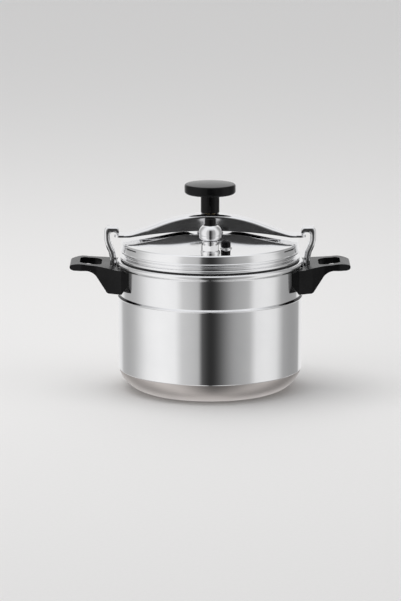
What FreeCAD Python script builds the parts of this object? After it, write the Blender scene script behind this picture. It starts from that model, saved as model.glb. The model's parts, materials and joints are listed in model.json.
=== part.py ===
import FreeCAD, Part
import math
import os

# A stovetop pressure cooker with an outside lid held down by a screw clamp.
# Millimetres, +Z up.  The origin is the centre of the flat base, on the pot's axis.
# +X runs along the clamp beam and the two side handles; the steam regulator is at -Y.

Vector = FreeCAD.Vector

# ---- pot -------------------------------------------------------------------------------
BASE_R = 95.0            # flat base that stands on the stove
BASE_CURVE_Z = 26.0      # top of the rounded base, where the straight wall starts
BODY_R = 120.0           # outside of the wall below the ring
UPPER_R = 117.6          # outside of the wall above the ring
BORE_R = 114.8           # inside of the wall above the ring
LOWER_BORE_R = 116.6     # inside of the wall below the ring
FLOOR_Z = 4.5            # inside floor
RING_Z = 122.0           # rolled ring round the wall
RIM_LOW_Z = 162.0        # underside of the thick rim
RIM_TOP_Z = 169.5        # face that the gasket seals on
RIM_R = 121.9            # outside of the thick rim
MOUTH_R = 115.5          # inside of the rim

# ---- lid -------------------------------------------------------------------------------
LIP_R = 113.6            # locating lip that hangs inside the mouth
LIP_INNER_R = 109.8
LIP_LOW_Z = 164.0
LID_FLANGE_Z = 171.4     # underside of the lid's sealing flange
SKIRT_R = 115.8          # polished band round the lid
SKIRT_INNER_R = 112.7
LID_EDGE_Z = 194.4       # where the lid's top begins
LID_PEAK_Z = 206.0       # top of the dome, round the recess
LID_CROWN_Z = 204.0      # flat floor of the recess that the clamp screw's seat stands in
RECESS_R = 19.0
LID_WALL = 3.0
GASKET_LIFT = 0.15       # gap left between the gasket and the rim

# ---- clamp -----------------------------------------------------------------------------
BEAM_TOP_Z = 230.5
BEAM_ARCH_R = 185.0      # radius of the arched top
BEAM_ARCH_X = 67.0       # where the arch becomes straight
TONGUE_TOP_Z = 203.0
TONGUE_THICK = 3.0
TONGUE_X = 125.0         # half length of the beam
BEAM_HALF_WIDTH = 13.0
BEAM_SIDE = 2.6          # thickness of the side flanges
BEAM_PLATE = 3.0         # thickness of the top plate
BEAM_LOW_Z = 209.0       # lower edge of the side flanges at the centre
SCREW_R = 5.0
BUSH_R = 7.5
BUSH_FLANGE_R = 10.1
FIT = 0.05               # radial clearance of a running fit
GAP = 0.3                # gap between faces of parts that move on each other
KNOB_R = 33.5
KNOB_TOP_Z = 269.0
KNOB_LOW_Z = 256.0
STEM_R = 12.2
STEM_LOW_Z = 231.2
SEAT_TOWER_R = 9.8
SEAT_FLANGE_R = 17.0
SEAT_RIVET_R = 13.4      # pitch radius of the seat's rivets

# ---- hooks, brackets and side handles (measured along +X, mirrored for the left) --------
HOOK_THICK = 7.6
HOOK_WIDTH = 22.0
HOOK_STRAP_X = 134.4     # middle of the upright strap
HOOK_LOW_Z = 139.5
HOOK_TIP_Z = 203.4       # underside of the hook's head, just over the beam's tongue
HOOK_NOSE_X = 118.8       # inner end of the hook's head
HOOK_HEAD_Z = 213.2
PLATE_THICK = 2.0
PLATE_HALF_WIDTH = 30.0
PLATE_LOW_Z = 136.5
PLATE_TOP_Z = 158.0
TAB_X = 135.0
HANDLE_TIP_X = 183.0
HANDLE_LOW_Z = 131.3
HANDLE_TOP_Z = 168.4
SCREW_X = 130.5          # screw that holds the handle to the bracket's tab
HOOK_RIVET_Z = (145.0, 153.5)
PLATE_RIVET_Z = 147.5
PLATE_RIVET_Y = 21.0
RIVET_SEAT_R = BORE_R - 0.12   # flat underside of the rivet heads, just inside the wall

# ---- steam regulator and safety valve ---------------------------------------------------
VENT_Y = -97.0
VENT_PAD_Z = 197.4       # flat pad on the lid under the vent
VENT_PAD_LOW_Z = 192.2
FILTER_TOP_Z = VENT_PAD_LOW_Z - 6.4
PIPE_R = 4.0
PIPE_TOP_Z = 217.0
RELIEF_X = 20.0
RELIEF_Y = -80.0
RELIEF_PAD_Z = 199.0
RELIEF_PAD_LOW_Z = 194.0
RELIEF_TUBE_R = 4.5
RELIEF_STEM_R = 2.2
RELIEF_TUBE_LOW_Z = 188.5
SPRING_LENGTH = 6.0
SPRING_WIRE_R = 0.45
SPRING_COIL_R = 3.3
SPRING_TURNS = 3.5
SPRING_STEPS = 56
SPRING_SIDES = 6


# ---- shape helpers ---------------------------------------------------------------------
def outline_wire(points, to_3d):
    """Closed wire: a pair is a straight run, four numbers are an arc through one point to the next."""
    edges = []
    here = to_3d(*points[0])
    for point in list(points[1:]) + [points[0][:2]]:
        there = to_3d(*point[-2:])
        if len(point) == 4:
            edges.append(Part.Arc(here, to_3d(*point[:2]), there).toShape())
        elif (there - here).Length > 1e-6:
            edges.append(Part.LineSegment(here, there).toShape())
        here = there
    return Part.Wire(edges)


def in_xz(x, z):
    return Vector(x, 0, z)


def in_xy(x, y):
    return Vector(x, y, 0)


def turned(points, x=0.0, y=0.0):
    """Solid of revolution round a vertical axis at x, y from a closed (radius, height) outline."""
    face = Part.Face(outline_wire(points, in_xz))
    solid = face.revolve(Vector(0, 0, 0), Vector(0, 0, 1), 360)
    solid.translate(Vector(x, y, 0))
    return solid


def slab(points, half_width):
    """Solid with an (x, z) side outline, centred on y = 0."""
    face = Part.Face(outline_wire(points, in_xz))
    face.translate(Vector(0, -half_width, 0))
    return face.extrude(Vector(0, 2 * half_width, 0))


def prism(points, low_z, high_z):
    """Solid with an (x, y) plan outline between two heights."""
    face = Part.Face(outline_wire(points, in_xy))
    face.translate(Vector(0, 0, low_z))
    return face.extrude(Vector(0, 0, high_z - low_z))


def rod(radius, low_z, high_z, x=0.0, y=0.0):
    return Part.makeCylinder(radius, high_z - low_z, Vector(x, y, low_z))


def tube(outer_r, inner_r, low_z, high_z, x=0.0, y=0.0):
    return rod(outer_r, low_z, high_z, x, y).cut(rod(inner_r, low_z - 1, high_z + 1, x, y))


def hexagon(across_flats, low_z, high_z, x=0.0, y=0.0, chamfer=0.8):
    """Hexagonal nut blank with both ends chamfered."""
    corner_r = across_flats / math.sqrt(3.0)
    points = []
    for step in range(6):
        angle = math.radians(60 * step + 30)
        points.append((corner_r * math.cos(angle), corner_r * math.sin(angle)))
    body = prism(points, low_z, high_z)
    flat_r = across_flats / 2.0
    cone = turned([(0, low_z), (flat_r, low_z), (corner_r, low_z + chamfer),
                   (corner_r, high_z - chamfer), (flat_r, high_z), (0, high_z)])
    body = body.common(cone)
    body.translate(Vector(x, y, 0))
    return body


def block(low, high):
    return Part.makeBox(high[0] - low[0], high[1] - low[1], high[2] - low[2], Vector(*low))


def mirrored(points):
    """The same plan outline with its other half added, mirrored in y."""
    return list(points) + [(x, -y) for x, y in reversed(points)]


def rounded(shape, radius, wanted):
    """Fillet the edges for which wanted(edge) is true."""
    edges = [edge for edge in shape.Edges if wanted(edge)]
    return shape.makeFillet(radius, edges)


def other_side(shape):
    """The same piece on the opposite side of the pot."""
    return shape.mirror(Vector(0, 0, 0), Vector(1, 0, 0))


# ---- pot -------------------------------------------------------------------------------
def make_pot_body():
    """Spun pot: flat base, rounded corner, straight wall with a ring, and a thick rim."""
    outline = [
        (0, 0),
        (BASE_R, 0),
        (110.6, 9.9, 119.4, BASE_CURVE_Z - 0.6),
        (119.4, BASE_CURVE_Z),
        (BODY_R, BASE_CURVE_Z + 0.8),
        (BODY_R, RING_Z - 1.6),
        (BODY_R + 1.0, RING_Z, BODY_R - 0.4, RING_Z + 1.4),
        (UPPER_R + 0.9, RING_Z + 2.0),
        (UPPER_R + 0.2, RING_Z + 2.5, UPPER_R, RING_Z + 3.4),
        (UPPER_R, RIM_LOW_Z - 1.4),
        (UPPER_R + 0.6, RIM_LOW_Z + 0.2, UPPER_R + 2.2, RIM_LOW_Z + 0.9),
        (RIM_R, 165.9, RIM_R - 1.5, RIM_TOP_Z - 0.5),
        (RIM_R - 2.5, RIM_TOP_Z),
        (MOUTH_R + 1.1, RIM_TOP_Z),
        (MOUTH_R + 0.3, RIM_TOP_Z - 0.3, MOUTH_R, RIM_TOP_Z - 1.1),
        (MOUTH_R, 160.5),
        (BORE_R, 157.5),
        (BORE_R, RING_Z + 2.0),
        (LOWER_BORE_R, RING_Z - 2.0),
        (LOWER_BORE_R, BASE_CURVE_Z + 2),
        (107.6, 13.0, BASE_R - 1, FLOOR_Z),
        (0, FLOOR_Z),
    ]
    return turned(outline)


def rivet(x_in, x_out, z, shank_r, head_r, head_height):
    """Rivet along X: a low domed head inside the pot and a flush end outside."""
    outline = [
        (0, 0),
        (shank_r * 0.6, 0),
        (head_r * 0.75, head_height * 0.25, head_r, head_height),
        (shank_r, head_height),
        (shank_r, x_out - x_in + head_height),
        (0, x_out - x_in + head_height),
    ]
    piece = turned(outline)
    piece.rotate(Vector(0, 0, 0), Vector(0, 1, 0), 90)
    piece.translate(Vector(x_in - head_height, 0, z))
    return piece


def make_hook_rivets():
    rivets = [rivet(RIVET_SEAT_R, 125.8, z, 2.6, 5.0, 2.0) for z in HOOK_RIVET_Z]
    return Part.makeCompound(rivets)


def make_bracket_rivets():
    tilt = math.degrees(math.asin(PLATE_RIVET_Y / UPPER_R))
    pair = []
    for turn in (-tilt, tilt):
        piece = rivet(RIVET_SEAT_R, UPPER_R + PLATE_THICK + 0.1, PLATE_RIVET_Z, 2.4, 4.6, 1.9)
        piece.rotate(Vector(0, 0, 0), Vector(0, 0, 1), turn)
        pair.append(piece)
    return Part.makeCompound(pair)


def make_bracket(hook_rivets, bracket_rivets):
    """Curved plate riveted to the wall, with a tab that the handle's screw pulls on."""
    plate = tube(UPPER_R + PLATE_THICK, UPPER_R, PLATE_LOW_Z, PLATE_TOP_Z)
    plate = plate.common(block((100, -PLATE_HALF_WIDTH, 0), (140, PLATE_HALF_WIDTH, 200)))
    tab = block((UPPER_R - 2, -8, PLATE_LOW_Z), (TAB_X, 8, PLATE_LOW_Z + PLATE_THICK))
    tab = rounded(tab, 3.0, lambda edge: edge.BoundBox.ZLength > 1 and edge.BoundBox.XMin > TAB_X - 1)
    tab = tab.cut(rod(UPPER_R + 1, 100, 200))
    bracket = plate.fuse(tab).removeSplitter()
    bracket = bracket.cut(rod(2.5, 100, 200, SCREW_X))
    return bracket.cut(hook_rivets).cut(bracket_rivets)


def make_hook(hook_rivets):
    """Forged strap that leans out past the rim, stands up and ends in a thick head over the beam."""
    half = HOOK_THICK / 2.0
    outer_x = HOOK_STRAP_X + half
    inner_x = HOOK_STRAP_X - half
    top = HOOK_HEAD_Z
    low = HOOK_TIP_Z
    outline = [
        (118.0, HOOK_LOW_Z),
        (124.4, HOOK_LOW_Z),
        (126.0, HOOK_LOW_Z + 1.6),
        (126.6, 156.0),
        (130.0, 162.4),
        (130.6, 170.0),
        (132.6, 180.4),
        (135.9, 188.0, outer_x, 197.0),
        (outer_x, top - 5.4),
        (outer_x - 1.4, top - 1.5, outer_x - 5.0, top),
        (HOOK_NOSE_X + 3.6, top),
        (HOOK_NOSE_X + 1.0, top - 1.1, HOOK_NOSE_X, top - 3.8),
        (HOOK_NOSE_X, low + 1.0),
        (HOOK_NOSE_X + 0.3, low + 0.3, HOOK_NOSE_X + 1.0, low),
        (HOOK_NOSE_X + 2.4, low),
        (HOOK_NOSE_X + 3.8, low + 2.0, HOOK_NOSE_X + 6.4, low + 2.8),
        (inner_x - 3.6, low + 2.8),
        (inner_x - 1.0, low + 1.8, inner_x, low - 0.8),
        (inner_x, 197.0),
        (127.4, 187.6, 124.0, 180.4),
        (122.7, 171.4),
        (122.7, 163.6),
        (120.2, 158.4),
        (118.0, 158.4),
    ]
    body = slab(outline, HOOK_WIDTH / 2.0)
    side_edges = [edge for edge in body.Edges
                  if edge.BoundBox.YLength < 1e-3 and edge.BoundBox.ZMin > 157 and edge.Length > 1.5]
    body = soften(body, side_edges, (2.0, 1.4))
    body = body.cut(rod(UPPER_R + PLATE_THICK, 100, 200))
    return body.cut(hook_rivets)


def handle_plan():
    """Half of the handle's plan outline, from the pot out to the squared tip."""
    return [
        (100.0, 53.0),
        (115.4, 49.5),
        (133.0, 40.5),
        (148.0, 34.2),
        (168.0, 31.5),
        (HANDLE_TIP_X, 24.0),
    ]


def handle_side():
    """Side outline: block against the pot, concave underside and a thin rounded tip."""
    return [
        (100.0, 162.3),
        (122.0, 162.6),
        (141.0, 165.6, 160.0, HANDLE_TOP_Z - 1.0),
        (173.0, 167.9, 181.2, 165.9),
        (HANDLE_TIP_X, 162.6, 181.2, 159.9),
        (178.0, 158.9),
        (163.0, 159.4),
        (153.6, 157.4, 147.0, 151.4),
        (134.2, 132.3),
        (132.0, HANDLE_LOW_Z),
        (115.0, HANDLE_LOW_Z),
        (104.0, 146.5),
        (100.0, 146.5),
    ]


def finger_hole():
    """Rounded opening through the loop."""
    hole = prism(mirrored([(141.5, 24.0), (170.0, 21.5)]), 100, 200)
    return rounded(hole, 10.0, lambda edge: edge.BoundBox.ZLength > 50)


def make_handle():
    """Moulded grip: the block hides the bracket and the foot of the hook."""
    grip = slab(handle_side(), 60).common(prism(mirrored(handle_plan()), 100, 200))
    upright = [edge for edge in grip.Edges
               if edge.BoundBox.ZLength > 5 and edge.BoundBox.XLength < 1e-3
               and edge.BoundBox.YLength < 1e-3 and edge.BoundBox.XMin > 120]
    grip = soften(grip, upright, (11.0, 8.0, 4.0))
    grip = grip.cut(finger_hole())
    rim_edges = [edge for edge in grip.Edges if edge.BoundBox.XMin > 121.0]
    grip = soften(grip, rim_edges, (3.4, 3.0, 2.6, 2.2, 1.8, 1.2))
    grip = grip.cut(rod(UPPER_R + GAP, 100, 200))
    grip = grip.cut(rod(RIM_R + 0.5, RIM_LOW_Z - 2.0, 200))
    plate_space = rod(UPPER_R + PLATE_THICK + GAP, PLATE_LOW_Z - GAP, 200)
    reach = PLATE_HALF_WIDTH + GAP
    grip = grip.cut(plate_space.common(block((90, -reach, 100), (140, reach, PLATE_TOP_Z + GAP))))
    grip = grip.cut(block((110, -8.3, PLATE_LOW_Z - GAP),
                          (TAB_X + 0.4, 8.3, PLATE_LOW_Z + PLATE_THICK + GAP)))
    pocket = [(110, HOOK_LOW_Z - 0.4), (126.6, HOOK_LOW_Z - 0.4), (127.2, 155.8), (130.6, 162.2),
              (131.2, 170.0), (110, 170.0)]
    grip = grip.cut(slab(pocket, HOOK_WIDTH / 2.0 + 0.4))
    grip = grip.cut(rod(5.4, 120, 135.2, SCREW_X))
    return grip.cut(rod(2.7, 120, 149.0, SCREW_X))


def soften(shape, edges, radii=(2.4, 1.8, 1.2)):
    """Round the given edges as far as the shape allows."""
    for radius in radii:
        try:
            result = shape.makeFillet(radius, edges)
        except Part.OCCError:
            continue
        if result.isValid():
            return result
    return shape


def make_handle_washer():
    return tube(5.0, 2.6, 134.4, 135.2, SCREW_X)


def make_handle_screw():
    """Pan-head screw from below, with a cross slot."""
    screw = turned([(0, 131.8), (3.4, 131.8), (4.4, 132.8), (4.4, 134.4), (2.5, 134.4),
                    (2.5, 147.4), (1.9, 148.2), (0, 148.2)], SCREW_X)
    slot_a = block((SCREW_X - 2.6, -0.5, 131), (SCREW_X + 2.6, 0.5, 133.4))
    slot_b = block((SCREW_X - 0.5, -2.6, 131), (SCREW_X + 0.5, 2.6, 133.4))
    return screw.cut(slot_a.fuse(slot_b))


# ---- lid -------------------------------------------------------------------------------
def make_lid_shell():
    """Spun lid: locating lip, sealing flange, neck, polished band and a low dome."""
    wall = LID_WALL
    outline = [
        (LIP_INNER_R, LIP_LOW_Z),
        (LIP_R, LIP_LOW_Z),
        (LIP_R, LID_FLANGE_Z),
        (116.4, LID_FLANGE_Z),
        (117.9, 173.4, 116.2, 175.4),
        (113.6, 176.0, 112.8, 177.8),
        (113.6, 179.8, 115.6, 180.6),
        (117.2, 182.1, 116.1, 183.6),
        (SKIRT_R + 0.1, 184.6),
        (SKIRT_R - 0.1, 190.8),
        (115.3, 193.4, 113.0, LID_EDGE_Z + 0.2),
        (107.0, LID_EDGE_Z + 0.5),
        (50.0, LID_PEAK_Z - 1.8),
        (40.0, LID_PEAK_Z - 0.5, 30.0, LID_PEAK_Z),
        (27.0, LID_PEAK_Z - 0.1, 24.6, LID_PEAK_Z - 0.8),
        (RECESS_R, LID_CROWN_Z),
        (0, LID_CROWN_Z),
        (0, LID_CROWN_Z - wall),
        (RECESS_R + 0.6, LID_CROWN_Z - wall),
        (25.4, LID_PEAK_Z - wall - 0.9),
        (27.6, LID_PEAK_Z - wall - 0.1, 30.0, LID_PEAK_Z - wall),
        (39.7, LID_PEAK_Z - wall - 0.5, 49.5, LID_PEAK_Z - wall - 1.76),
        (106.5, 191.95),
        (110.6, 191.5),
        (112.2, 190.9, SKIRT_INNER_R, 189.4),
        (SKIRT_INNER_R, 184.0),
        (LIP_INNER_R, 180.6),
    ]
    shell = turned(outline)
    shell = add_pad(shell, 0.0, VENT_Y, 12.6, VENT_PAD_LOW_Z, VENT_PAD_Z)
    shell = add_pad(shell, RELIEF_X, RELIEF_Y, 8.0, RELIEF_PAD_LOW_Z, RELIEF_PAD_Z)
    shell = shell.cut(rod(PIPE_R, 150, 250, 0, VENT_Y))
    shell = shell.cut(rod(RELIEF_TUBE_R, 150, 250, RELIEF_X, RELIEF_Y))
    for hole in seat_rivet_places():
        shell = shell.cut(rod(2.0, 150, 250, *hole))
    return shell.removeSplitter()


def add_pad(shell, x, y, radius, low_z, high_z):
    """Flat boss through the lid that gives a valve level faces above and below."""
    shell = shell.cut(rod(radius, high_z, high_z + 20, x, y))
    shell = shell.cut(rod(radius, low_z - 20, low_z, x, y))
    return shell.fuse(rod(radius, low_z, high_z, x, y))


def seat_rivet_places():
    places = []
    for step in range(3):
        angle = math.radians(120 * step + 90)
        places.append((SEAT_RIVET_R * math.cos(angle), SEAT_RIVET_R * math.sin(angle)))
    return places


def make_gasket():
    """L-section ring on the locating lip, squeezed between the rim and the lid's flange."""
    low = RIM_TOP_Z + GASKET_LIFT
    return turned([(LIP_R, 165.0), (115.1, 165.0), (115.2, low), (116.9, low),
                   (117.0, 170.5, 116.9, LID_FLANGE_Z), (LIP_R, LID_FLANGE_Z)])


def make_lid_seat():
    """Riveted socket in which the clamp screw's foot turns."""
    base = LID_CROWN_Z
    seat = turned([(0, base), (SEAT_FLANGE_R, base), (SEAT_FLANGE_R, base + 1.4),
                   (SEAT_FLANGE_R - 0.5, base + 1.9),
                   (SEAT_TOWER_R, base + 1.9), (SEAT_TOWER_R, base + 7.2), (6.5, base + 7.2),
                   (6.5, base + 1.8), (0, base + 1.8)])
    for hole in seat_rivet_places():
        seat = seat.cut(rod(2.0, 200, 230, *hole))
    return seat


def make_seat_rivets():
    rivets = []
    for x, y in seat_rivet_places():
        under = LID_CROWN_Z - LID_WALL
        rivets.append(turned([(0, under - 2.4), (1.6, under - 2.4), (3.2, under - 1.6, 3.6, under),
                              (2.0, under),
                              (2.0, LID_CROWN_Z + 1.9), (0, LID_CROWN_Z + 1.9)], x, y))
    return Part.makeCompound(rivets)


def make_seat_cap():
    """Pressed ring over the socket that keeps the foot captive."""
    low = LID_CROWN_Z + 7.2
    return turned([(4.2, low), (SEAT_TOWER_R, low), (SEAT_TOWER_R, low + 0.8),
                   (SEAT_TOWER_R - 0.6, low + 1.2),
                   (4.2, low + 1.2)])


def make_vent_base():
    """Hexagonal nut with a turned shoulder that clamps the vent pipe to the lid."""
    y = VENT_Y
    foot = turned([(PIPE_R, VENT_PAD_Z), (12.0, VENT_PAD_Z), (12.0, VENT_PAD_Z + 0.7),
                   (11.2, VENT_PAD_Z + 1.3), (PIPE_R, VENT_PAD_Z + 1.3)], 0, y)
    nut = hexagon(20.0, VENT_PAD_Z + 1.3, 206.6, 0, y).cut(rod(PIPE_R, 190, 220, 0, y))
    shoulder = turned([(PIPE_R, 206.6), (9.4, 206.6), (9.2, 207.2), (9.0, 207.4), (9.0, 208.0),
                       (10.4, 208.6),
                       (10.4, 210.2), (9.2, 211.4, 7.0, 211.9), (PIPE_R, 211.9)], 0, y)
    return foot.fuse(nut).fuse(shoulder).removeSplitter()


def make_vent_pipe():
    """Steam pipe through the lid, with a narrow bore and a coned seat at the top."""
    return turned([(1.2, FILTER_TOP_Z - 5.0), (PIPE_R, FILTER_TOP_Z - 5.0),
                   (PIPE_R, PIPE_TOP_Z - 1.2), (PIPE_R - 1.2, PIPE_TOP_Z),
                   (2.0, PIPE_TOP_Z), (1.2, PIPE_TOP_Z - 1.0)], 0, VENT_Y)


def make_vent_gasket():
    return tube(9.0, PIPE_R, VENT_PAD_LOW_Z - 1.5, VENT_PAD_LOW_Z, 0, VENT_Y)


def make_vent_nut():
    high = VENT_PAD_LOW_Z - 1.5
    return hexagon(15.0, high - 4.5, high, 0, VENT_Y).cut(rod(PIPE_R, 170, 220, 0, VENT_Y))


def make_vent_filter():
    """Slotted strainer cap that keeps food out of the vent pipe."""
    y = VENT_Y
    top = FILTER_TOP_Z
    cap = turned([(0, top - 9.2), (4.6, top - 9.2), (6.0, top - 8.6, 6.6, top - 7.2), (6.6, top),
                  (PIPE_R, top),
                  (PIPE_R, top - 2.2), (5.4, top - 2.2), (5.4, top - 6.8), (4.6, top - 7.8),
                  (0, top - 7.8)], 0, y)
    slot = block((-8, -0.7, top - 6.4), (8, 0.7, top - 2.8))
    for step in range(4):
        cutter = slot.copy()
        cutter.rotate(Vector(0, 0, 0), Vector(0, 0, 1), 45 * step)
        cutter.translate(Vector(0, y, 0))
        cap = cap.cut(cutter.cut(rod(PIPE_R + 0.6, 170, 190, 0, y)))
    return cap


# ---- steam regulator -------------------------------------------------------------------
def make_regulator_bowl():
    """Lower half of the weight, hollow round the vent pipe."""
    return turned([(PIPE_R + GAP, 212.6), (9.6, 212.6), (12.9, 214.0, 14.1, 218.6), (13.7, 219.1),
                   (PIPE_R + GAP, 219.1)], 0, VENT_Y)


def make_regulator_bell():
    """Upper half of the weight: an acorn shape with a spigot for the finger cap."""
    return turned([(3.8, 219.1), (13.9, 219.1), (14.7, 219.9), (14.8, 220.8), (13.4, 227.3, 8.9, 231.6),
                   (4.6, 231.6), (4.6, 236.6), (4.0, 237.2), (0, 237.2), (0, 226.0),
                   (3.8, 226.0)], 0, VENT_Y)


def make_regulator_cap():
    """Insulating finger cap."""
    return turned([(4.6, 231.8), (6.7, 231.8), (7.15, 232.3), (7.15, 239.4),
                   (6.9, 240.2, 6.0, 240.5), (0, 240.7),
                   (0, 237.2), (4.0, 237.2), (4.6, 236.6)], 0, VENT_Y)


def make_regulator_needle():
    """Coned plug that closes the vent pipe from above."""
    return turned([(0, PIPE_TOP_Z + 0.3), (1.0, PIPE_TOP_Z + 0.3), (3.8, PIPE_TOP_Z + 2.2),
                   (3.8, 226.0),
                   (0, 226.0)], 0, VENT_Y)


# ---- safety valve ----------------------------------------------------------------------
def make_relief_seat():
    """Flanged tube through the lid in which the safety valve's stem slides."""
    bore = RELIEF_STEM_R + FIT
    return turned([(bore, RELIEF_TUBE_LOW_Z), (RELIEF_TUBE_R, RELIEF_TUBE_LOW_Z),
                   (RELIEF_TUBE_R, RELIEF_PAD_Z),
                   (5.6, RELIEF_PAD_Z), (5.6, RELIEF_PAD_Z + 0.5), (5.3, RELIEF_PAD_Z + 0.8),
                   (bore, RELIEF_PAD_Z + 0.8)], RELIEF_X, RELIEF_Y)


def make_relief_gasket():
    return tube(7.4, RELIEF_TUBE_R, RELIEF_PAD_LOW_Z - 1.0, RELIEF_PAD_LOW_Z, RELIEF_X, RELIEF_Y)


def make_relief_nut():
    high = RELIEF_PAD_LOW_Z - 1.0
    nut = hexagon(13.0, high - 3.6, high, RELIEF_X, RELIEF_Y, 0.6)
    return nut.cut(rod(RELIEF_TUBE_R, 170, 220, RELIEF_X, RELIEF_Y))


def make_relief_stem():
    """Sliding stem with a spring plate at its lower end."""
    low = RELIEF_TUBE_LOW_Z - SPRING_LENGTH
    return turned([(0, low - 1.4), (3.6, low - 1.4), (4.2, low - 0.9), (4.2, low), (RELIEF_STEM_R, low),
                   (RELIEF_STEM_R, 206.0), (0, 206.0)], RELIEF_X, RELIEF_Y)


def make_relief_cap():
    """Black domed button on the stem."""
    low = RELIEF_PAD_Z + 0.8 + GAP
    return turned([(RELIEF_STEM_R, low), (6.0, low), (6.4, low + 0.5), (6.3, 204.4),
                   (5.4, 207.2, 2.8, 208.5),
                   (2.0, 208.7, 1.0, 208.8), (0, 208.8), (0, 206.0),
                   (RELIEF_STEM_R, 206.0)], RELIEF_X, RELIEF_Y)


def make_relief_spring():
    """Coil spring between the stem's plate and the tube, in short straight facets."""
    low = RELIEF_TUBE_LOW_Z - SPRING_LENGTH + SPRING_WIRE_R + 0.05
    rise = SPRING_LENGTH - 2 * SPRING_WIRE_R - 0.1
    sections = []
    for step in range(SPRING_STEPS + 1):
        share = step / SPRING_STEPS
        angle = 2 * math.pi * SPRING_TURNS * share
        section = []
        for corner in range(SPRING_SIDES):
            around = 2 * math.pi * corner / SPRING_SIDES
            radius = SPRING_COIL_R + SPRING_WIRE_R * math.cos(around)
            height = low + rise * share + SPRING_WIRE_R * math.sin(around)
            section.append(Vector(RELIEF_X + radius * math.cos(angle),
                                  RELIEF_Y + radius * math.sin(angle), height))
        sections.append(section)
    faces = [flat_face(sections[0]), flat_face(sections[-1])]
    for this, following in zip(sections, sections[1:]):
        for corner in range(SPRING_SIDES):
            beside = (corner + 1) % SPRING_SIDES
            faces.append(flat_face([this[corner], this[beside], following[corner]]))
            faces.append(flat_face([this[beside], following[beside], following[corner]]))
    spring = Part.Solid(Part.Shell(faces))
    if spring.Volume < 0:
        spring.reverse()
    return spring


def flat_face(corners):
    return Part.Face(Part.makePolygon(list(corners) + [corners[0]]))


# ---- clamp beam, bush, screw and knob ---------------------------------------------------
def beam_drop(x, radius):
    """How far the arch has fallen at x from its top."""
    return radius - math.sqrt(radius * radius - x * x)


def beam_top_points():
    """Left half of the beam's upper line, from the tongue's end to the start of the arch."""
    slope = BEAM_ARCH_X / math.sqrt(BEAM_ARCH_R ** 2 - BEAM_ARCH_X ** 2)
    arch_z = BEAM_TOP_Z - beam_drop(BEAM_ARCH_X, BEAM_ARCH_R)
    foot_x = BEAM_ARCH_X + (arch_z - TONGUE_TOP_Z) / slope
    angle = math.atan(slope)
    bend_r = 40.0
    reach = bend_r * math.tan(angle / 2)
    start = (foot_x + reach, TONGUE_TOP_Z)
    middle = (start[0] - bend_r * math.sin(angle / 2),
              TONGUE_TOP_Z + bend_r * (1 - math.cos(angle / 2)))
    end = (start[0] - bend_r * math.sin(angle), TONGUE_TOP_Z + bend_r * (1 - math.cos(angle)))
    return start, middle, end, arch_z


def make_beam():
    """Arched channel whose side flanges run out into flat tongues."""
    start, middle, end, arch_z = beam_top_points()
    low_x = 105.0
    tongue_low = TONGUE_TOP_Z - TONGUE_THICK
    outline = [
        (-TONGUE_X, tongue_low),
        (-TONGUE_X, TONGUE_TOP_Z),
        (-start[0], start[1]),
        (-middle[0], middle[1], -end[0], end[1]),
        (-BEAM_ARCH_X, arch_z),
        (0, BEAM_TOP_Z, BEAM_ARCH_X, arch_z),
        (end[0], end[1]),
        (middle[0], middle[1], start[0], start[1]),
        (TONGUE_X, TONGUE_TOP_Z),
        (TONGUE_X, tongue_low),
        (low_x, tongue_low),
        (0, BEAM_LOW_Z, -low_x, tongue_low),
    ]
    body = slab(outline, BEAM_HALF_WIDTH)
    corners = [edge for edge in body.Edges
               if edge.BoundBox.ZLength < TONGUE_THICK + 0.1 and edge.BoundBox.ZLength > TONGUE_THICK - 0.1
               and edge.BoundBox.XLength < 1e-3 and edge.BoundBox.YLength < 1e-3]
    body = body.makeFillet(6.0, corners)
    top_edges = [edge for edge in body.Edges
                 if edge.BoundBox.YLength < 1e-3 and edge.BoundBox.ZMin > TONGUE_TOP_Z - 0.5
                 and edge.BoundBox.XLength > 5]
    body = body.makeFillet(2.9, [edge for edge in top_edges if not lower_edge(edge)])
    return body.cut(beam_hollow()).cut(rod(BUSH_R + FIT, 200, 250))


def lower_edge(edge):
    """True for the long curved lower edge of a side flange."""
    box = edge.BoundBox
    return box.XLength > 2 * BEAM_ARCH_X + 10


def beam_hollow():
    """Space inside the channel, parallel to its top."""
    slope = BEAM_ARCH_X / math.sqrt(BEAM_ARCH_R ** 2 - BEAM_ARCH_X ** 2)
    inner_r = BEAM_ARCH_R - BEAM_PLATE
    inner_x = BEAM_ARCH_X * inner_r / BEAM_ARCH_R
    inner_z = BEAM_TOP_Z - BEAM_PLATE - beam_drop(inner_x, inner_r)
    run = 36.0
    outline = [
        (-inner_x - run, 190),
        (-inner_x - run, inner_z - run * slope),
        (-inner_x, inner_z),
        (0, BEAM_TOP_Z - BEAM_PLATE, inner_x, inner_z),
        (inner_x + run, inner_z - run * slope),
        (inner_x + run, 190),
    ]
    return slab(outline, BEAM_HALF_WIDTH - BEAM_SIDE)


def make_beam_bush():
    """Threaded bush that turns in the beam's hole and carries the beam up or down the screw."""
    shelf = BEAM_TOP_Z - BEAM_PLATE - GAP
    bush = turned([(SCREW_R + FIT, 217.5), (BUSH_FLANGE_R, 217.5), (BUSH_FLANGE_R, shelf),
                   (BUSH_R, shelf),
                   (BUSH_R, BEAM_TOP_Z + GAP), (BUSH_R - 0.7, BEAM_TOP_Z + GAP),
                   (BUSH_R - 0.7, BEAM_TOP_Z + GAP + 1.0), (BUSH_R, BEAM_TOP_Z + GAP + 1.0),
                   (BUSH_R, BEAM_TOP_Z + 1.9), (SCREW_R + FIT, BEAM_TOP_Z + 1.9)])
    return bush


def make_bush_clip():
    """Retaining ring above the beam, with a gap for fitting it."""
    low = BEAM_TOP_Z + GAP
    clip = tube(9.6, BUSH_R - 0.7, low, low + 1.0)
    return clip.cut(block((0, -1.6, low - 1), (12, 1.6, low + 2)))


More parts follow.
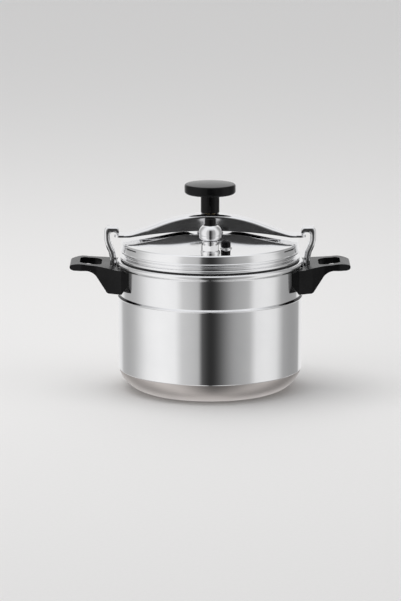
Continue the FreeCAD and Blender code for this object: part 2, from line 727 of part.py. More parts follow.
def make_clamp_screw():
    """Clamp screw from the foot up into the knob."""
    return turned([(0, 207.0), (3.4, 207.0), (3.4, 213.2), (SCREW_R - 0.6, 213.2), (SCREW_R, 214.0),
                   (SCREW_R, 255.2), (SCREW_R - 0.8, 256.0), (0, 256.0)])


def make_screw_foot():
    """Round pad pressed on the end of the screw."""
    low = LID_CROWN_Z + 1.8 + GAP
    return turned([(0, low), (5.3, low), (6.1, low + 0.8), (6.1, 209.8), (5.7, 210.2), (3.4, 210.2),
                   (3.4, 207.0), (0, 207.0)])


def make_knob_insert():
    """Ribbed metal insert moulded into the knob's stem."""
    insert = tube(8.0, SCREW_R, 236.0, 256.0)
    for step in range(3):
        low = 239.0 + 5.0 * step
        insert = insert.cut(tube(9.0, 7.2, low, low + 2.0))
    return insert


def make_knob(insert):
    """Moulded T-knob: a thick disc on a round stem."""
    low = KNOB_LOW_Z
    top = KNOB_TOP_Z
    outline = [
        (0, 256.0),
        (8.0, 256.0),
        (8.0, 235.0),
        (10.4, 235.0),
        (10.4, STEM_LOW_Z),
        (STEM_R - 0.5, STEM_LOW_Z),
        (STEM_R, STEM_LOW_Z + 0.5),
        (STEM_R, low - 4.5),
        (STEM_R + 0.9, low - 1.4, STEM_R + 4.0, low - 0.4),
        (KNOB_R - 4.0, low),
        (KNOB_R - 1.1, low + 1.2, KNOB_R, low + 4.2),
        (KNOB_R, top - 2.6),
        (KNOB_R - 0.75, top - 0.8, KNOB_R - 2.6, top),
        (KNOB_R - 5.0, top + 0.2),
        (16.0, top + 1.0, 3.0, top + 1.3),
        (0, top + 1.3),
    ]
    return turned(outline).cut(insert).cut(rod(8.0, 235.0, 256.0)).fuse(insert_ribs(insert))


def insert_ribs(insert):
    """Moulded material that fills the grooves of the insert."""
    return tube(8.0, SCREW_R, 236.0, 256.0).cut(insert)


# ---- export ----------------------------------------------------------------------------
def all_pieces():
    hook_rivets = make_hook_rivets()
    bracket_rivets = make_bracket_rivets()
    handle = make_handle()
    hook = make_hook(hook_rivets)
    bracket = make_bracket(hook_rivets, bracket_rivets)
    right_side = {
        "handle": handle,
        "handle_bracket": bracket,
        "hook": hook,
        "hook_rivets": hook_rivets,
        "bracket_rivets": bracket_rivets,
        "handle_screw": make_handle_screw(),
        "handle_washer": make_handle_washer(),
    }
    pieces = {}
    pot = make_pot_body()
    for rivets in (hook_rivets, bracket_rivets):
        pot = pot.cut(rivets).cut(other_side(rivets))
    pieces["pot_body"] = pot
    for name, shape in right_side.items():
        pieces[name + "_right"] = shape
        pieces[name + "_left"] = other_side(shape)

    pieces["lid_shell"] = make_lid_shell()
    pieces["lid_gasket"] = make_gasket()
    pieces["lid_seat"] = make_lid_seat()
    pieces["lid_seat_rivets"] = make_seat_rivets()
    pieces["lid_seat_cap"] = make_seat_cap()
    pieces["vent_base"] = make_vent_base()
    pieces["vent_pipe"] = make_vent_pipe()
    pieces["vent_gasket"] = make_vent_gasket()
    pieces["vent_nut"] = make_vent_nut()
    pieces["vent_filter"] = make_vent_filter()
    pieces["relief_seat"] = make_relief_seat()
    pieces["relief_gasket"] = make_relief_gasket()
    pieces["relief_nut"] = make_relief_nut()

    pieces["regulator_bowl"] = make_regulator_bowl()
    pieces["regulator_bell"] = make_regulator_bell()
    pieces["regulator_cap"] = make_regulator_cap()
    pieces["regulator_needle"] = make_regulator_needle()

    pieces["relief_stem"] = make_relief_stem()
    pieces["relief_cap"] = make_relief_cap()
    pieces["relief_spring"] = make_relief_spring()

    pieces["beam"] = make_beam()
    pieces["beam_bush"] = make_beam_bush()
    pieces["bush_clip"] = make_bush_clip()
    pieces["clamp_screw"] = make_clamp_screw()
    pieces["screw_foot"] = make_screw_foot()
    insert = make_knob_insert()
    pieces["knob_insert"] = insert
    pieces["knob"] = make_knob(insert)
    return pieces


os.makedirs("parts", exist_ok=True)
for node, shape in all_pieces().items():
    print(node, "valid" if shape.isValid() else "INVALID", len(shape.Solids), round(shape.Volume, 1))
    shape.exportStep("parts/" + node + ".step")
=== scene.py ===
import json
import math

import bmesh
import bpy
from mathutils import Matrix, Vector


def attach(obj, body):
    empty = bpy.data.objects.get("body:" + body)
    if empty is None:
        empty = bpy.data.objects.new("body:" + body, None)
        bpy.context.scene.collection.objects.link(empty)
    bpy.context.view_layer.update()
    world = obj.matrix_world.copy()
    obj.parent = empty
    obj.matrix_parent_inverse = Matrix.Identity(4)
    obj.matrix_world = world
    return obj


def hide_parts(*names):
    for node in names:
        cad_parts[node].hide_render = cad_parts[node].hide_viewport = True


# Looks for the stovetop pressure cooker.  Metres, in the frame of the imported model:
# the origin is the centre of the flat base, +X runs along the beam and -Y faces the camera.
# The turned outlines are in millimetres, as in the part's source, and scaled here.

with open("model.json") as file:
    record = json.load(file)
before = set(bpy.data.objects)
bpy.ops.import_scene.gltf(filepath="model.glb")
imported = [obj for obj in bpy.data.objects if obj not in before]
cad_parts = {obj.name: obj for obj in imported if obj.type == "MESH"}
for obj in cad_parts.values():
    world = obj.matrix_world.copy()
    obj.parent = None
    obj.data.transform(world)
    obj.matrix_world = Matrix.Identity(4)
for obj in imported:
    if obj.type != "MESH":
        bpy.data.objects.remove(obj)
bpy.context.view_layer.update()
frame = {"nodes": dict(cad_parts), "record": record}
nodes = frame["nodes"]
MM = 0.001

# ---- turned outlines --------------------------------------------------------------------
ARC_STEPS = 10
TURN_STEPS = 240


def arc_through(a, b, c, steps):
    """Points after a up to c on the circle through a, b and c."""
    d = 2 * (a[0] * (b[1] - c[1]) + b[0] * (c[1] - a[1]) + c[0] * (a[1] - b[1]))
    sq = [p[0] ** 2 + p[1] ** 2 for p in (a, b, c)]
    x = (sq[0] * (b[1] - c[1]) + sq[1] * (c[1] - a[1]) + sq[2] * (a[1] - b[1])) / d
    z = (sq[0] * (c[0] - b[0]) + sq[1] * (a[0] - c[0]) + sq[2] * (b[0] - a[0])) / d
    radius = math.hypot(a[0] - x, a[1] - z)
    start, mid, end = (math.atan2(p[1] - z, p[0] - x) for p in (a, b, c))
    sweep = (end - start) % (2 * math.pi)
    if (mid - start) % (2 * math.pi) > sweep:
        sweep -= 2 * math.pi
    points = []
    for step in range(1, steps + 1):
        angle = start + sweep * step / steps
        points.append((x + radius * math.cos(angle), z + radius * math.sin(angle)))
    return points


def outline_points(outline, steps=ARC_STEPS):
    """A pair is a straight run; four numbers are an arc through one point to the next."""
    points = [tuple(outline[0])]
    for item in outline[1:]:
        if len(item) == 4:
            points += arc_through(points[-1], item[:2], item[2:], steps)
        else:
            points.append(tuple(item))
    return points


def finish_mesh(obj, sharp=28.0):
    """Smooth shading with sharp edges kept, and normals pointing outwards."""
    mesh = obj.data
    bm = bmesh.new()
    bm.from_mesh(mesh)
    bmesh.ops.remove_doubles(bm, verts=bm.verts, dist=1e-7)
    bmesh.ops.recalc_face_normals(bm, faces=bm.faces)
    bm.to_mesh(mesh)
    bm.free()
    mesh.shade_smooth()
    mesh.set_sharp_from_angle(angle=math.radians(sharp))
    return obj


def add_object(name, verts, faces, sharp=28.0):
    mesh = bpy.data.meshes.new(name)
    mesh.from_pydata(verts, [], faces)
    mesh.update()
    obj = bpy.data.objects.new(name, mesh)
    bpy.context.scene.collection.objects.link(obj)
    return finish_mesh(obj, sharp)


def turned(name, outline, x=0.0, y=0.0, steps=TURN_STEPS, arc_steps=ARC_STEPS, sharp=28.0):
    """Closed (radius, height) outline turned round a vertical axis."""
    points = outline_points(outline, arc_steps)
    if math.dist(points[0], points[-1]) < 1e-6:
        points.pop()
    verts = []
    rings = []
    for r, z in points:
        ring = []
        count = 1 if r < 1e-9 else steps
        for step in range(count):
            angle = 2 * math.pi * step / steps
            ring.append(len(verts))
            verts.append(((x + r * math.cos(angle)) * MM, (y + r * math.sin(angle)) * MM, z * MM))
        rings.append(ring)
    faces = []
    for low, high in zip(rings, rings[1:] + rings[:1]):
        if len(low) == 1 and len(high) == 1:
            continue
        for step in range(steps):
            after = (step + 1) % steps
            if len(low) == 1:
                faces.append((low[0], high[after], high[step]))
            elif len(high) == 1:
                faces.append((low[step], low[after], high[0]))
            else:
                faces.append((low[step], low[after], high[after], high[step]))
    return add_object(name, verts, faces, sharp)


# ---- materials --------------------------------------------------------------------------
def new_material(name):
    mat = bpy.data.materials.new(name)
    mat.use_nodes = True
    tree = mat.node_tree
    tree.nodes.clear()
    out = tree.nodes.new("ShaderNodeOutputMaterial")
    bsdf = tree.nodes.new("ShaderNodeBsdfPrincipled")
    tree.links.new(bsdf.outputs[0], out.inputs[0])
    return mat, tree, bsdf


def node(tree, kind, **values):
    item = tree.nodes.new(kind)
    for key, value in values.items():
        if key in item.inputs:
            item.inputs[key].default_value = value
        else:
            setattr(item, key, value)
    return item


def math_node(tree, operation, a, b=None):
    item = tree.nodes.new("ShaderNodeMath")
    item.operation = operation
    for slot, value in enumerate((a, b)):
        if value is None:
            continue
        if isinstance(value, (int, float)):
            item.inputs[slot].default_value = value
        else:
            tree.links.new(value, item.inputs[slot])
    return item.outputs[0]


def combine(tree, x, y, z):
    item = tree.nodes.new("ShaderNodeCombineXYZ")
    for slot, value in enumerate((x, y, z)):
        if isinstance(value, (int, float)):
            item.inputs[slot].default_value = value
        else:
            tree.links.new(value, item.inputs[slot])
    return item.outputs[0]


def object_parts(tree):
    coord = tree.nodes.new("ShaderNodeTexCoord")
    split = tree.nodes.new("ShaderNodeSeparateXYZ")
    tree.links.new(coord.outputs["Object"], split.inputs[0])
    return coord.outputs["Object"], split.outputs[0], split.outputs[1], split.outputs[2]


def noise(tree, vector, scale, detail=3.0, roughness=0.5):
    item = tree.nodes.new("ShaderNodeTexNoise")
    item.inputs["Scale"].default_value = scale
    item.inputs["Detail"].default_value = detail
    item.inputs["Roughness"].default_value = roughness
    tree.links.new(vector, item.inputs["Vector"])
    return item.outputs["Fac"]


def map_range(tree, value, low, high, to_low, to_high):
    item = tree.nodes.new("ShaderNodeMapRange")
    item.inputs["From Min"].default_value = low
    item.inputs["From Max"].default_value = high
    item.inputs["To Min"].default_value = to_low
    item.inputs["To Max"].default_value = to_high
    tree.links.new(value, item.inputs["Value"])
    return item.outputs["Result"]


def colour_mix(tree, factor, first, second):
    item = tree.nodes.new("ShaderNodeMix")
    item.data_type = "RGBA"
    item.inputs["A"].default_value = (*first, 1)
    item.inputs["B"].default_value = (*second, 1)
    tree.links.new(factor, item.inputs["Factor"])
    return item.outputs["Result"]


def bump(tree, bsdf, height, strength, distance):
    item = tree.nodes.new("ShaderNodeBump")
    item.inputs["Strength"].default_value = strength
    item.inputs["Distance"].default_value = distance
    tree.links.new(height, item.inputs["Height"])
    tree.links.new(item.outputs[0], bsdf.inputs["Normal"])
    return item


def spun_metal(name, tint, dark_tint, rough, anisotropic, line_scale=2600.0, bump_depth=0.000004):
    """Metal turned on a lathe: fine lines round the axis, and faint smears and wipe marks."""
    mat, tree, bsdf = new_material(name)
    vector, x, y, z = object_parts(tree)
    turn = math_node(tree, "ARCTAN2", y, x)
    radius = math_node(tree, "SQRT", math_node(tree, "ADD", math_node(tree, "MULTIPLY", x, x),
                                               math_node(tree, "MULTIPLY", y, y)))
    along = math_node(tree, "ADD", z, radius)
    lines = noise(tree, combine(tree, math_node(tree, "MULTIPLY", turn, 0.35),
                                math_node(tree, "MULTIPLY", along, line_scale), 0.0), 1.0, 2.0, 0.6)
    smears = noise(tree, vector, 24.0, 4.0, 0.55)
    specks = noise(tree, vector, 900.0, 2.0, 0.5)
    smear_share = math_node(tree, "MULTIPLY", smears, 0.7)
    wear = math_node(tree, "ADD", smear_share, math_node(tree, "MULTIPLY", lines, 0.3))
    tree.links.new(colour_mix(tree, map_range(tree, wear, 0.3, 0.7, 0.0, 1.0), tint, dark_tint),
                   bsdf.inputs["Base Color"])
    wear_share = math_node(tree, "MULTIPLY", wear, 0.75)
    spread = math_node(tree, "ADD", wear_share, math_node(tree, "MULTIPLY", specks, 0.25))
    tree.links.new(map_range(tree, spread, 0.3, 0.7, rough[0], rough[1]), bsdf.inputs["Roughness"])
    bsdf.inputs["Metallic"].default_value = 1.0
    if anisotropic:
        bsdf.inputs["Anisotropic"].default_value = anisotropic
        tangent = node(tree, "ShaderNodeTangent", direction_type="RADIAL", axis="Z")
        tree.links.new(tangent.outputs[0], bsdf.inputs["Tangent"])
        bsdf.inputs["Anisotropic Rotation"].default_value = 0.25
    bump(tree, bsdf, lines, 0.25, bump_depth)
    return mat


def polished_metal(name, tint, dark_tint, rough, grain=70.0, wave=160.0, depth=0.00001):
    """Buffed or plated metal: near mirror, with soft orange peel, wipe marks and hairlines."""
    mat, tree, bsdf = new_material(name)
    vector, x, y, z = object_parts(tree)
    smears = noise(tree, vector, grain, 4.0, 0.6)
    stretched = combine(tree, math_node(tree, "MULTIPLY", x, 60.0), math_node(tree, "MULTIPLY", y, 2400.0),
                        math_node(tree, "MULTIPLY", z, 2400.0))
    hairs = noise(tree, stretched, 1.0, 2.0, 0.6)
    smear_share = math_node(tree, "MULTIPLY", smears, 0.6)
    wear = math_node(tree, "ADD", smear_share, math_node(tree, "MULTIPLY", hairs, 0.4))
    tree.links.new(colour_mix(tree, map_range(tree, wear, 0.35, 0.7, 0.0, 1.0), tint, dark_tint),
                   bsdf.inputs["Base Color"])
    tree.links.new(map_range(tree, wear, 0.3, 0.7, rough[0], rough[1]), bsdf.inputs["Roughness"])
    bsdf.inputs["Metallic"].default_value = 1.0
    bump(tree, bsdf, noise(tree, vector, wave, 2.0, 0.5), 0.2 if depth < 0.0001 else 1.0, depth)
    return mat


def moulded_plastic(name, tint, rough, peel=420.0):
    """Black phenolic moulding: soft gloss, fine peel, dusty pores and rubbed patches."""
    mat, tree, bsdf = new_material(name)
    vector, x, y, z = object_parts(tree)
    patches = noise(tree, vector, 38.0, 4.0, 0.6)
    pores = noise(tree, vector, 1500.0, 2.0, 0.6)
    light_tint = tuple(value * 2.2 + 0.004 for value in tint)
    patch_share = math_node(tree, "MULTIPLY", patches, 0.6)
    mix = math_node(tree, "ADD", patch_share, math_node(tree, "MULTIPLY", pores, 0.4))
    tree.links.new(colour_mix(tree, map_range(tree, mix, 0.42, 0.72, 0.0, 1.0), tint, light_tint),
                   bsdf.inputs["Base Color"])
    tree.links.new(map_range(tree, mix, 0.3, 0.7, rough[0], rough[1]), bsdf.inputs["Roughness"])
    bsdf.inputs["IOR"].default_value = 1.52
    bsdf.inputs["Specular IOR Level"].default_value = 0.15
    bump(tree, bsdf, noise(tree, vector, peel, 3.0, 0.5), 0.35, 0.00003)
    return mat


def rubber(name):
    mat, tree, bsdf = new_material(name)
    vector, x, y, z = object_parts(tree)
    dust = noise(tree, vector, 260.0, 4.0, 0.6)
    dusty = map_range(tree, dust, 0.4, 0.7, 0.0, 1.0)
    tree.links.new(colour_mix(tree, dusty, (0.012, 0.012, 0.013), (0.03, 0.03, 0.031)),
                   bsdf.inputs["Base Color"])
    tree.links.new(map_range(tree, dust, 0.3, 0.7, 0.5, 0.75), bsdf.inputs["Roughness"])
    bump(tree, bsdf, dust, 0.4, 0.00005)
    return mat


pot_satin = spun_metal("pot_satin", (0.93, 0.93, 0.935), (0.88, 0.88, 0.89), (0.05, 0.10), 0.6)
base_matte = spun_metal("base_matte", (0.66, 0.61, 0.585), (0.58, 0.54, 0.52), (0.33, 0.43), 0.0,
                        1400.0, 0.00002)
lid_polish = spun_metal("lid_polish", (0.94, 0.94, 0.945), (0.90, 0.90, 0.91), (0.05, 0.09), 0.4,
                        1800.0, 0.000002)
chrome = polished_metal("chrome", (0.90, 0.90, 0.91), (0.84, 0.84, 0.85), (0.03, 0.08))
beam_chrome = polished_metal("beam_chrome", (0.92, 0.92, 0.93), (0.86, 0.86, 0.87), (0.10, 0.18), 50.0)
hook_metal = polished_metal("hook_metal", (0.90, 0.90, 0.905), (0.84, 0.84, 0.85), (0.12, 0.20), 90.0,
                            55.0, 0.0002)
steel = polished_metal("satin_steel", (0.62, 0.62, 0.63), (0.5, 0.5, 0.51), (0.2, 0.34), 120.0)
rivet_metal = polished_metal("rivet_metal", (0.78, 0.78, 0.79), (0.68, 0.68, 0.69), (0.22, 0.35), 160.0)
brass = polished_metal("brass", (0.80, 0.60, 0.28), (0.68, 0.48, 0.2), (0.16, 0.3), 120.0)
bakelite = moulded_plastic("bakelite", (0.0035, 0.0035, 0.0038), (0.20, 0.30))
knob_gloss = moulded_plastic("knob_gloss", (0.003, 0.003, 0.0033), (0.12, 0.20))
seal_rubber = rubber("seal_rubber")


def paint(obj, *materials):
    obj.data.materials.clear()
    for mat in materials:
        obj.data.materials.append(mat)


SLOT_LOOKS = {
    "pot_aluminium": pot_satin,
    "lid_aluminium": lid_polish,
    "bakelite": bakelite,
    "steel": steel,
    "hook_metal": hook_metal,
    "rivet": rivet_metal,
    "gasket_rubber": seal_rubber,
    "chrome": chrome,
    "valve_plastic": knob_gloss,
    "spring_steel": steel,
    "beam_chrome": beam_chrome,
    "brass": brass,
}
slot_of = {part["node"]: part["material_slot"] for part in frame["record"]["subparts"]}
for name, obj in nodes.items():
    paint(obj, SLOT_LOOKS[slot_of[name]])


def stands_for(piece, body, *replaced):
    """Put a detailed piece on a body in place of the plain node."""
    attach(piece, body)
    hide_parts(*replaced)
    return piece


# ---- turned pieces ----------------------------------------------------------------------
pot = turned("pot_wall", [
    (0, 0), (95, 0), (110.6, 9.9, 119.4, 25.4), (119.4, 26.0), (120, 26.8), (120, 120.4),
    (120.15, 121.2, 120.6, 121.6), (121.2, 122.2, 120.7, 122.8), (119.7, 123.3, 118.5, 124.0),
    (117.8, 124.5, 117.6, 125.4), (117.6, 160.6), (118.2, 162.2, 119.8, 162.9),
    (121.9, 165.9, 120.4, 169.0), (119.4, 169.5), (116.6, 169.5), (115.8, 169.2, 115.5, 168.4),
    (115.5, 160.5), (114.8, 157.5), (114.8, 124.0), (116.6, 120.0), (116.6, 28), (107.6, 13.0, 94, 4.5),
    (0, 4.5)])
paint(pot, pot_satin, base_matte)
for face in pot.data.polygons:
    if face.center.z < 0.026 and face.normal.z < 0.2 and math.hypot(face.center.x, face.center.y) > 0.001:
        face.material_index = 1
stands_for(pot, "pot", "pot_body")

lid = turned("lid_dome", [
    (109.8, 164.0), (113.6, 164.0), (113.6, 171.4), (116.4, 171.4), (117.9, 173.4, 116.2, 175.4),
    (113.6, 176.0, 112.8, 177.8), (113.6, 179.8, 115.6, 180.6), (117.2, 182.1, 116.1, 183.6),
    (115.9, 184.6), (115.7, 190.8), (115.3, 193.4, 113.0, 194.6), (107.0, 194.9), (50.0, 204.2),
    (40.0, 205.5, 30.0, 206.0), (27.0, 205.9, 24.6, 205.2), (19.0, 204.0), (0, 204.0), (0, 201.0),
    (19.6, 201.0), (25.4, 202.1), (27.6, 202.9, 30.0, 203.0), (39.7, 202.5, 49.5, 201.24),
    (106.5, 191.95), (110.6, 191.5), (112.2, 190.9, 112.7, 189.4), (112.7, 184.0), (109.8, 180.6)])
paint(lid, lid_polish)
stands_for(lid, "lid", "lid_shell")


def make_pad(name, x, y, radius, low, high):
    """Flat machined pad on the lid, under the regulator or the safety valve."""
    pad = turned(name, [(0, low), (radius, low), (radius, high - 0.5),
                        (radius - 0.15, high - 0.15, radius - 0.5, high), (0, high)], x, y, 96, 4)
    paint(pad, lid_polish)
    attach(pad, "lid")


make_pad("vent_pad", 0, -97, 12.6, 193.0, 197.4)
make_pad("relief_pad", 20, -80, 8.0, 195.0, 199.0)

knob = turned("knob_turned", [
    (5.3, 231.2), (11.7, 231.2), (12.2, 231.7), (12.2, 251.5), (13.1, 254.6, 16.2, 255.6), (29.5, 256.0),
    (32.4, 257.2, 33.5, 260.2), (33.5, 266.4), (32.75, 268.2, 30.9, 269.0), (28.5, 269.2),
    (16.0, 270.0, 3.0, 270.3), (0, 270.3), (0, 262.0), (5.3, 262.0)])
paint(knob, knob_gloss)
stands_for(knob, "knob", "knob")

bowl = turned("weight_bowl", [(4.3, 212.6), (9.6, 212.6), (12.9, 214.0, 14.1, 218.6), (13.7, 219.1),
                              (4.3, 219.1)], 0, -97, 120)
bell = turned("weight_bell", [
    (3.8, 219.1), (13.9, 219.1), (14.7, 219.9), (14.8, 220.8), (13.4, 227.3, 8.9, 231.6), (4.6, 231.6),
    (4.6, 236.6), (4.0, 237.2), (0, 237.2), (0, 226.0), (3.8, 226.0)], 0, -97, 120)
finger_cap = turned("weight_cap", [
    (4.6, 231.8), (6.7, 231.8), (7.15, 232.3), (7.15, 239.4), (6.9, 240.2, 6.0, 240.5), (0, 240.7),
    (0, 237.2), (4.0, 237.2), (4.6, 236.6)], 0, -97, 96)
for piece, look, replaced in ((bowl, chrome, "regulator_bowl"), (bell, chrome, "regulator_bell"),
                              (finger_cap, knob_gloss, "regulator_cap")):
    paint(piece, look)
    stands_for(piece, "regulator", replaced)


# ---- clamp beam -------------------------------------------------------------------------
ARCH_TOP, ARCH_R, ARCH_X, TONGUE_TOP = 230.5, 185.0, 67.0, 203.0


def beam_top(x):
    """Height of the beam's upper line: an arch, a straight run and a bend into the tongue."""
    x = abs(x)
    slope = ARCH_X / math.sqrt(ARCH_R ** 2 - ARCH_X ** 2)
    arch_z = ARCH_TOP - ARCH_R + math.sqrt(ARCH_R ** 2 - ARCH_X ** 2)
    angle = math.atan(slope)
    bend = 40.0
    start = ARCH_X + (arch_z - TONGUE_TOP) / slope + bend * math.tan(angle / 2)
    end = start - bend * math.sin(angle)
    if x < ARCH_X:
        return ARCH_TOP - ARCH_R + math.sqrt(ARCH_R ** 2 - x * x)
    if x < end:
        return arch_z - (x - ARCH_X) * slope
    if x < start:
        return TONGUE_TOP + bend - math.sqrt(bend ** 2 - (start - x) ** 2)
    return TONGUE_TOP


def beam_low(x):
    """Lower edge of the side flanges, a shallow arch running out into the tongues."""
    span, rise = 105.0, 9.0
    radius = (span ** 2 + rise ** 2) / (2 * rise)
    if abs(x) > span:
        return 200.0
    return 209.0 - radius + math.sqrt(radius ** 2 - x * x)


def beam_section(x):
    """Section across the beam at x: rounded shoulders outside, a channel inside."""
    top, low = beam_top(x), beam_low(x)
    half = 13.0
    if abs(x) > 119.0:
        half = 7.0 + math.sqrt(max(0.0, 36.0 - (abs(x) - 119.0) ** 2))
    shoulder = min(5.2, 0.62 * (top - low))
    if abs(x) > 112.0:
        shoulder = 0.8
    points = [(-half, low)]
    for step in range(9):
        turn = math.pi / 2 * step / 8
        points.append((-half + shoulder - shoulder * math.cos(turn),
                       top - shoulder + shoulder * math.sin(turn)))
    points += [(-y, z) for y, z in reversed(points)]
    depth = max(0.0, min(1.0, (100.0 - abs(x)) / 10.0))
    inner_half = min(10.4, half - 2.6)
    lift = low + (top - 3.0 - low) * depth if top - low > 4 else low + 0.02
    corner = max(lift - 2.0, low + 0.01)
    roof = max(lift, low + 0.02)
    points += [(inner_half, low), (inner_half, corner), (inner_half - 2.0, roof),
               (-inner_half + 2.0, roof), (-inner_half, corner), (-inner_half, low)]
    return points


def make_beam():
    places = [-125.0 + 0.5 * step for step in range(501)]
    verts, faces = [], []
    for x in places:
        verts += [(x * MM, y * MM, z * MM) for y, z in beam_section(x)]
    count = len(beam_section(0.0))
    for row in range(len(places) - 1):
        for point in range(count):
            a = row * count + point
            b = row * count + (point + 1) % count
            faces.append((a, b, b + count, a + count))
    faces.append(tuple(reversed(range(count))))
    faces.append(tuple(range(len(verts) - count, len(verts))))
    beam = add_object("beam_arched", verts, faces, 40.0)
    paint(beam, beam_chrome)
    return stands_for(beam, "beam", "beam")


make_beam()


# ---- hooks ------------------------------------------------------------------------------
HOOK_STATIONS = [
    (124.4, 139.5, 119.8, 139.5), (125.5, 140.2, 119.8, 140.4), (126.0, 141.6, 119.8, 141.6),
    (126.6, 156.0, 119.8, 156.0), (127.6, 158.2, 120.1, 158.6), (129.2, 161.0, 121.6, 161.2),
    (130.1, 163.8, 122.6, 163.8), (130.6, 170.0, 122.7, 170.6), (131.4, 174.6, 123.1, 175.4),
    (132.6, 180.4, 124.1, 180.8), (134.4, 184.0, 125.8, 184.2), (135.9, 188.0, 127.5, 187.8),
    (137.2, 192.4, 129.3, 192.2), (138.0, 196.4, 130.4, 196.2), (138.2, 200.0, 130.6, 199.2),
    (138.2, 204.4, 130.6, 201.6), (138.1, 207.8, 130.5, 203.0), (137.6, 210.2, 130.1, 204.4),
    (136.5, 212.0, 129.4, 205.4), (134.9, 213.0, 128.3, 206.0), (133.2, 213.2, 127.0, 206.2),
    (129.0, 213.2, 125.2, 206.2), (126.6, 213.2, 123.8, 205.8), (124.6, 213.2, 122.7, 205.0),
    (123.2, 213.2, 121.9, 204.2), (121.8, 213.1, 121.0, 203.5), (120.4, 212.6, 120.0, 203.4),
    (119.4, 211.4, 119.3, 203.6), (118.8, 209.4, 118.8, 204.4)]


def hook_section(station, side):
    """Section across the strap between its outer and inner line, with rounded edges."""
    outer_x, outer_z, inner_x, inner_z = station
    length = math.hypot(inner_x - outer_x, inner_z - outer_z)
    across = ((inner_x - outer_x) / length, (inner_z - outer_z) / length)
    radius = 0.42 * min(length, 7.6)
    points = []
    for corner, (depth, y) in enumerate(((radius, -11.0 + radius), (length - radius, -11.0 + radius),
                                         (length - radius, 11.0 - radius), (radius, 11.0 - radius))):
        for step in range(7):
            turn = math.pi / 2 * (corner + step / 6)
            along = depth - radius * math.cos(turn)
            sideways = y - radius * math.sin(turn)
            points.append((side * (outer_x + across[0] * along) * MM, sideways * MM,
                           (outer_z + across[1] * along) * MM))
    return points


def make_hook(name, side, replaced):
    """Forged strap with rounded edges and a thick head over the beam's tongue."""
    verts, faces = [], []
    for station in HOOK_STATIONS:
        verts += hook_section(station, side)
    count = len(hook_section(HOOK_STATIONS[0], side))
    for row in range(len(HOOK_STATIONS) - 1):
        for point in range(count):
            a = row * count + point
            b = row * count + (point + 1) % count
            faces.append((a, b, b + count, a + count))
    faces.append(tuple(reversed(range(count))))
    faces.append(tuple(range(len(verts) - count, len(verts))))
    if side > 0:
        faces = [tuple(reversed(face)) for face in faces]
    hook = add_object(name, verts, faces, 40.0)
    paint(hook, hook_metal)
    return stands_for(hook, "pot", replaced)


make_hook("hook_forged_right", 1, "hook_right")
make_hook("hook_forged_left", -1, "hook_left")


# ---- studio -----------------------------------------------------------------------------
def make_floor():
    bpy.ops.mesh.primitive_plane_add(size=24.0, location=(0, 6.0, 0))
    floor = bpy.context.object
    floor.name = "floor"
    mat, tree, bsdf = new_material("floor_paper")
    vector, x, y, z = object_parts(tree)
    grain = noise(tree, vector, 220.0, 4.0, 0.6)
    tree.links.new(colour_mix(tree, grain, (0.80, 0.79, 0.78), (0.84, 0.83, 0.82)), bsdf.inputs["Base Color"])
    bsdf.inputs["Roughness"].default_value = 0.85
    paint(floor, mat)
    floor.visible_glossy = False
    return floor


# Panels of the studio, round the object from the back: (middle in degrees from the camera's
# side towards +X, half width in degrees, level).
PANELS = [
    (-165, 15, 0.85),
    (-125, 15, 0.40),
    (-65, 20, 0.95),
    (-25, 10, 0.55),
    (0, 10, 0.01),
    (40, 10, 0.40),
    (75, 15, 0.85),
    (125, 20, 0.30),
    (165, 15, 0.85),
]


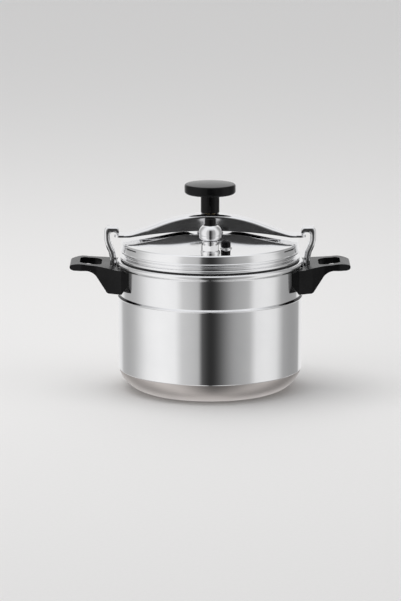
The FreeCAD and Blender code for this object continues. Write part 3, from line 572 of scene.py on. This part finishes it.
def make_world():
    """White light tent with a dark gap on the camera's side and grey gaps at the back corners."""
    world = bpy.data.worlds.new("studio")
    bpy.context.scene.world = world
    world.use_nodes = True
    tree = world.node_tree
    tree.nodes.clear()
    out = tree.nodes.new("ShaderNodeOutputWorld")
    light = tree.nodes.new("ShaderNodeBackground")
    coord = tree.nodes.new("ShaderNodeTexCoord")
    split = tree.nodes.new("ShaderNodeSeparateXYZ")
    tree.links.new(coord.outputs["Generated"], split.inputs[0])
    back = math_node(tree, "MULTIPLY", split.outputs[1], -1.0)
    angle = math_node(tree, "ARCTAN2", split.outputs[0], back)
    turn = map_range(tree, angle, -math.pi, math.pi, 0.0, 1.0)
    ramp = tree.nodes.new("ShaderNodeValToRGB")
    ramp.color_ramp.interpolation = "B_SPLINE"
    elements = ramp.color_ramp.elements
    stops = [(middle + side * half, level) for middle, half, level in PANELS for side in (-1, 1)]
    for rank, (degrees, level) in enumerate(stops):
        place = (degrees + 180) / 360
        if rank == 0:
            stop = elements[0]
        elif rank == len(stops) - 1:
            stop = elements[-1]
        else:
            stop = elements.new(place)
        stop.position = place
        stop.color = (level, level, level, 1)
    tree.links.new(turn, ramp.inputs[0])
    overhead = map_range(tree, split.outputs[2], 0.6, 0.95, 0.0, 1.0)
    mix = tree.nodes.new("ShaderNodeMix")
    mix.data_type = "RGBA"
    mix.inputs["B"].default_value = (0.92, 0.93, 0.95, 1)
    tree.links.new(overhead, mix.inputs["Factor"])
    tree.links.new(ramp.outputs[0], mix.inputs["A"])
    tree.links.new(mix.outputs["Result"], light.inputs["Color"])
    tree.links.new(light.outputs[0], out.inputs[0])
    light.inputs["Strength"].default_value = 1.0


def area_light(name, place, aim, size, power, glossy):
    data = bpy.data.lights.new(name, "AREA")
    data.shape = "RECTANGLE"
    data.size = size[0]
    data.size_y = size[1]
    data.energy = power
    obj = bpy.data.objects.new(name, data)
    bpy.context.scene.collection.objects.link(obj)
    obj.location = place
    obj.rotation_euler = (Vector(aim) - Vector(place)).to_track_quat("-Z", "Y").to_euler()
    obj.visible_glossy = glossy
    return obj


CAMERA_DISTANCE = 4.6
CAMERA_RISE = 11.3
CAMERA_AIM = Vector((-0.0125, 0.0, 0.114))
PICTURE_HEIGHT = 0.788     # what the frame shows at the aim point, top to bottom


def make_camera():
    data = bpy.data.cameras.new("camera")
    camera = bpy.data.objects.new("camera", data)
    bpy.context.scene.collection.objects.link(camera)
    rise = math.radians(CAMERA_RISE)
    camera.location = CAMERA_AIM + CAMERA_DISTANCE * Vector((0, -math.cos(rise), math.sin(rise)))
    camera.rotation_euler = (CAMERA_AIM - camera.location).to_track_quat("-Z", "Y").to_euler()
    data.sensor_width = 36.0
    data.lens = data.sensor_width * CAMERA_DISTANCE / PICTURE_HEIGHT
    data.clip_end = 60.0
    bpy.context.scene.camera = camera


make_floor()
make_world()
area_light("overhead", (-0.5, 0.3, 2.2), (0, 0, 0.1), (1.6, 1.6), 18.0, False)
make_camera()
bpy.context.scene.view_settings.view_transform = "Standard"
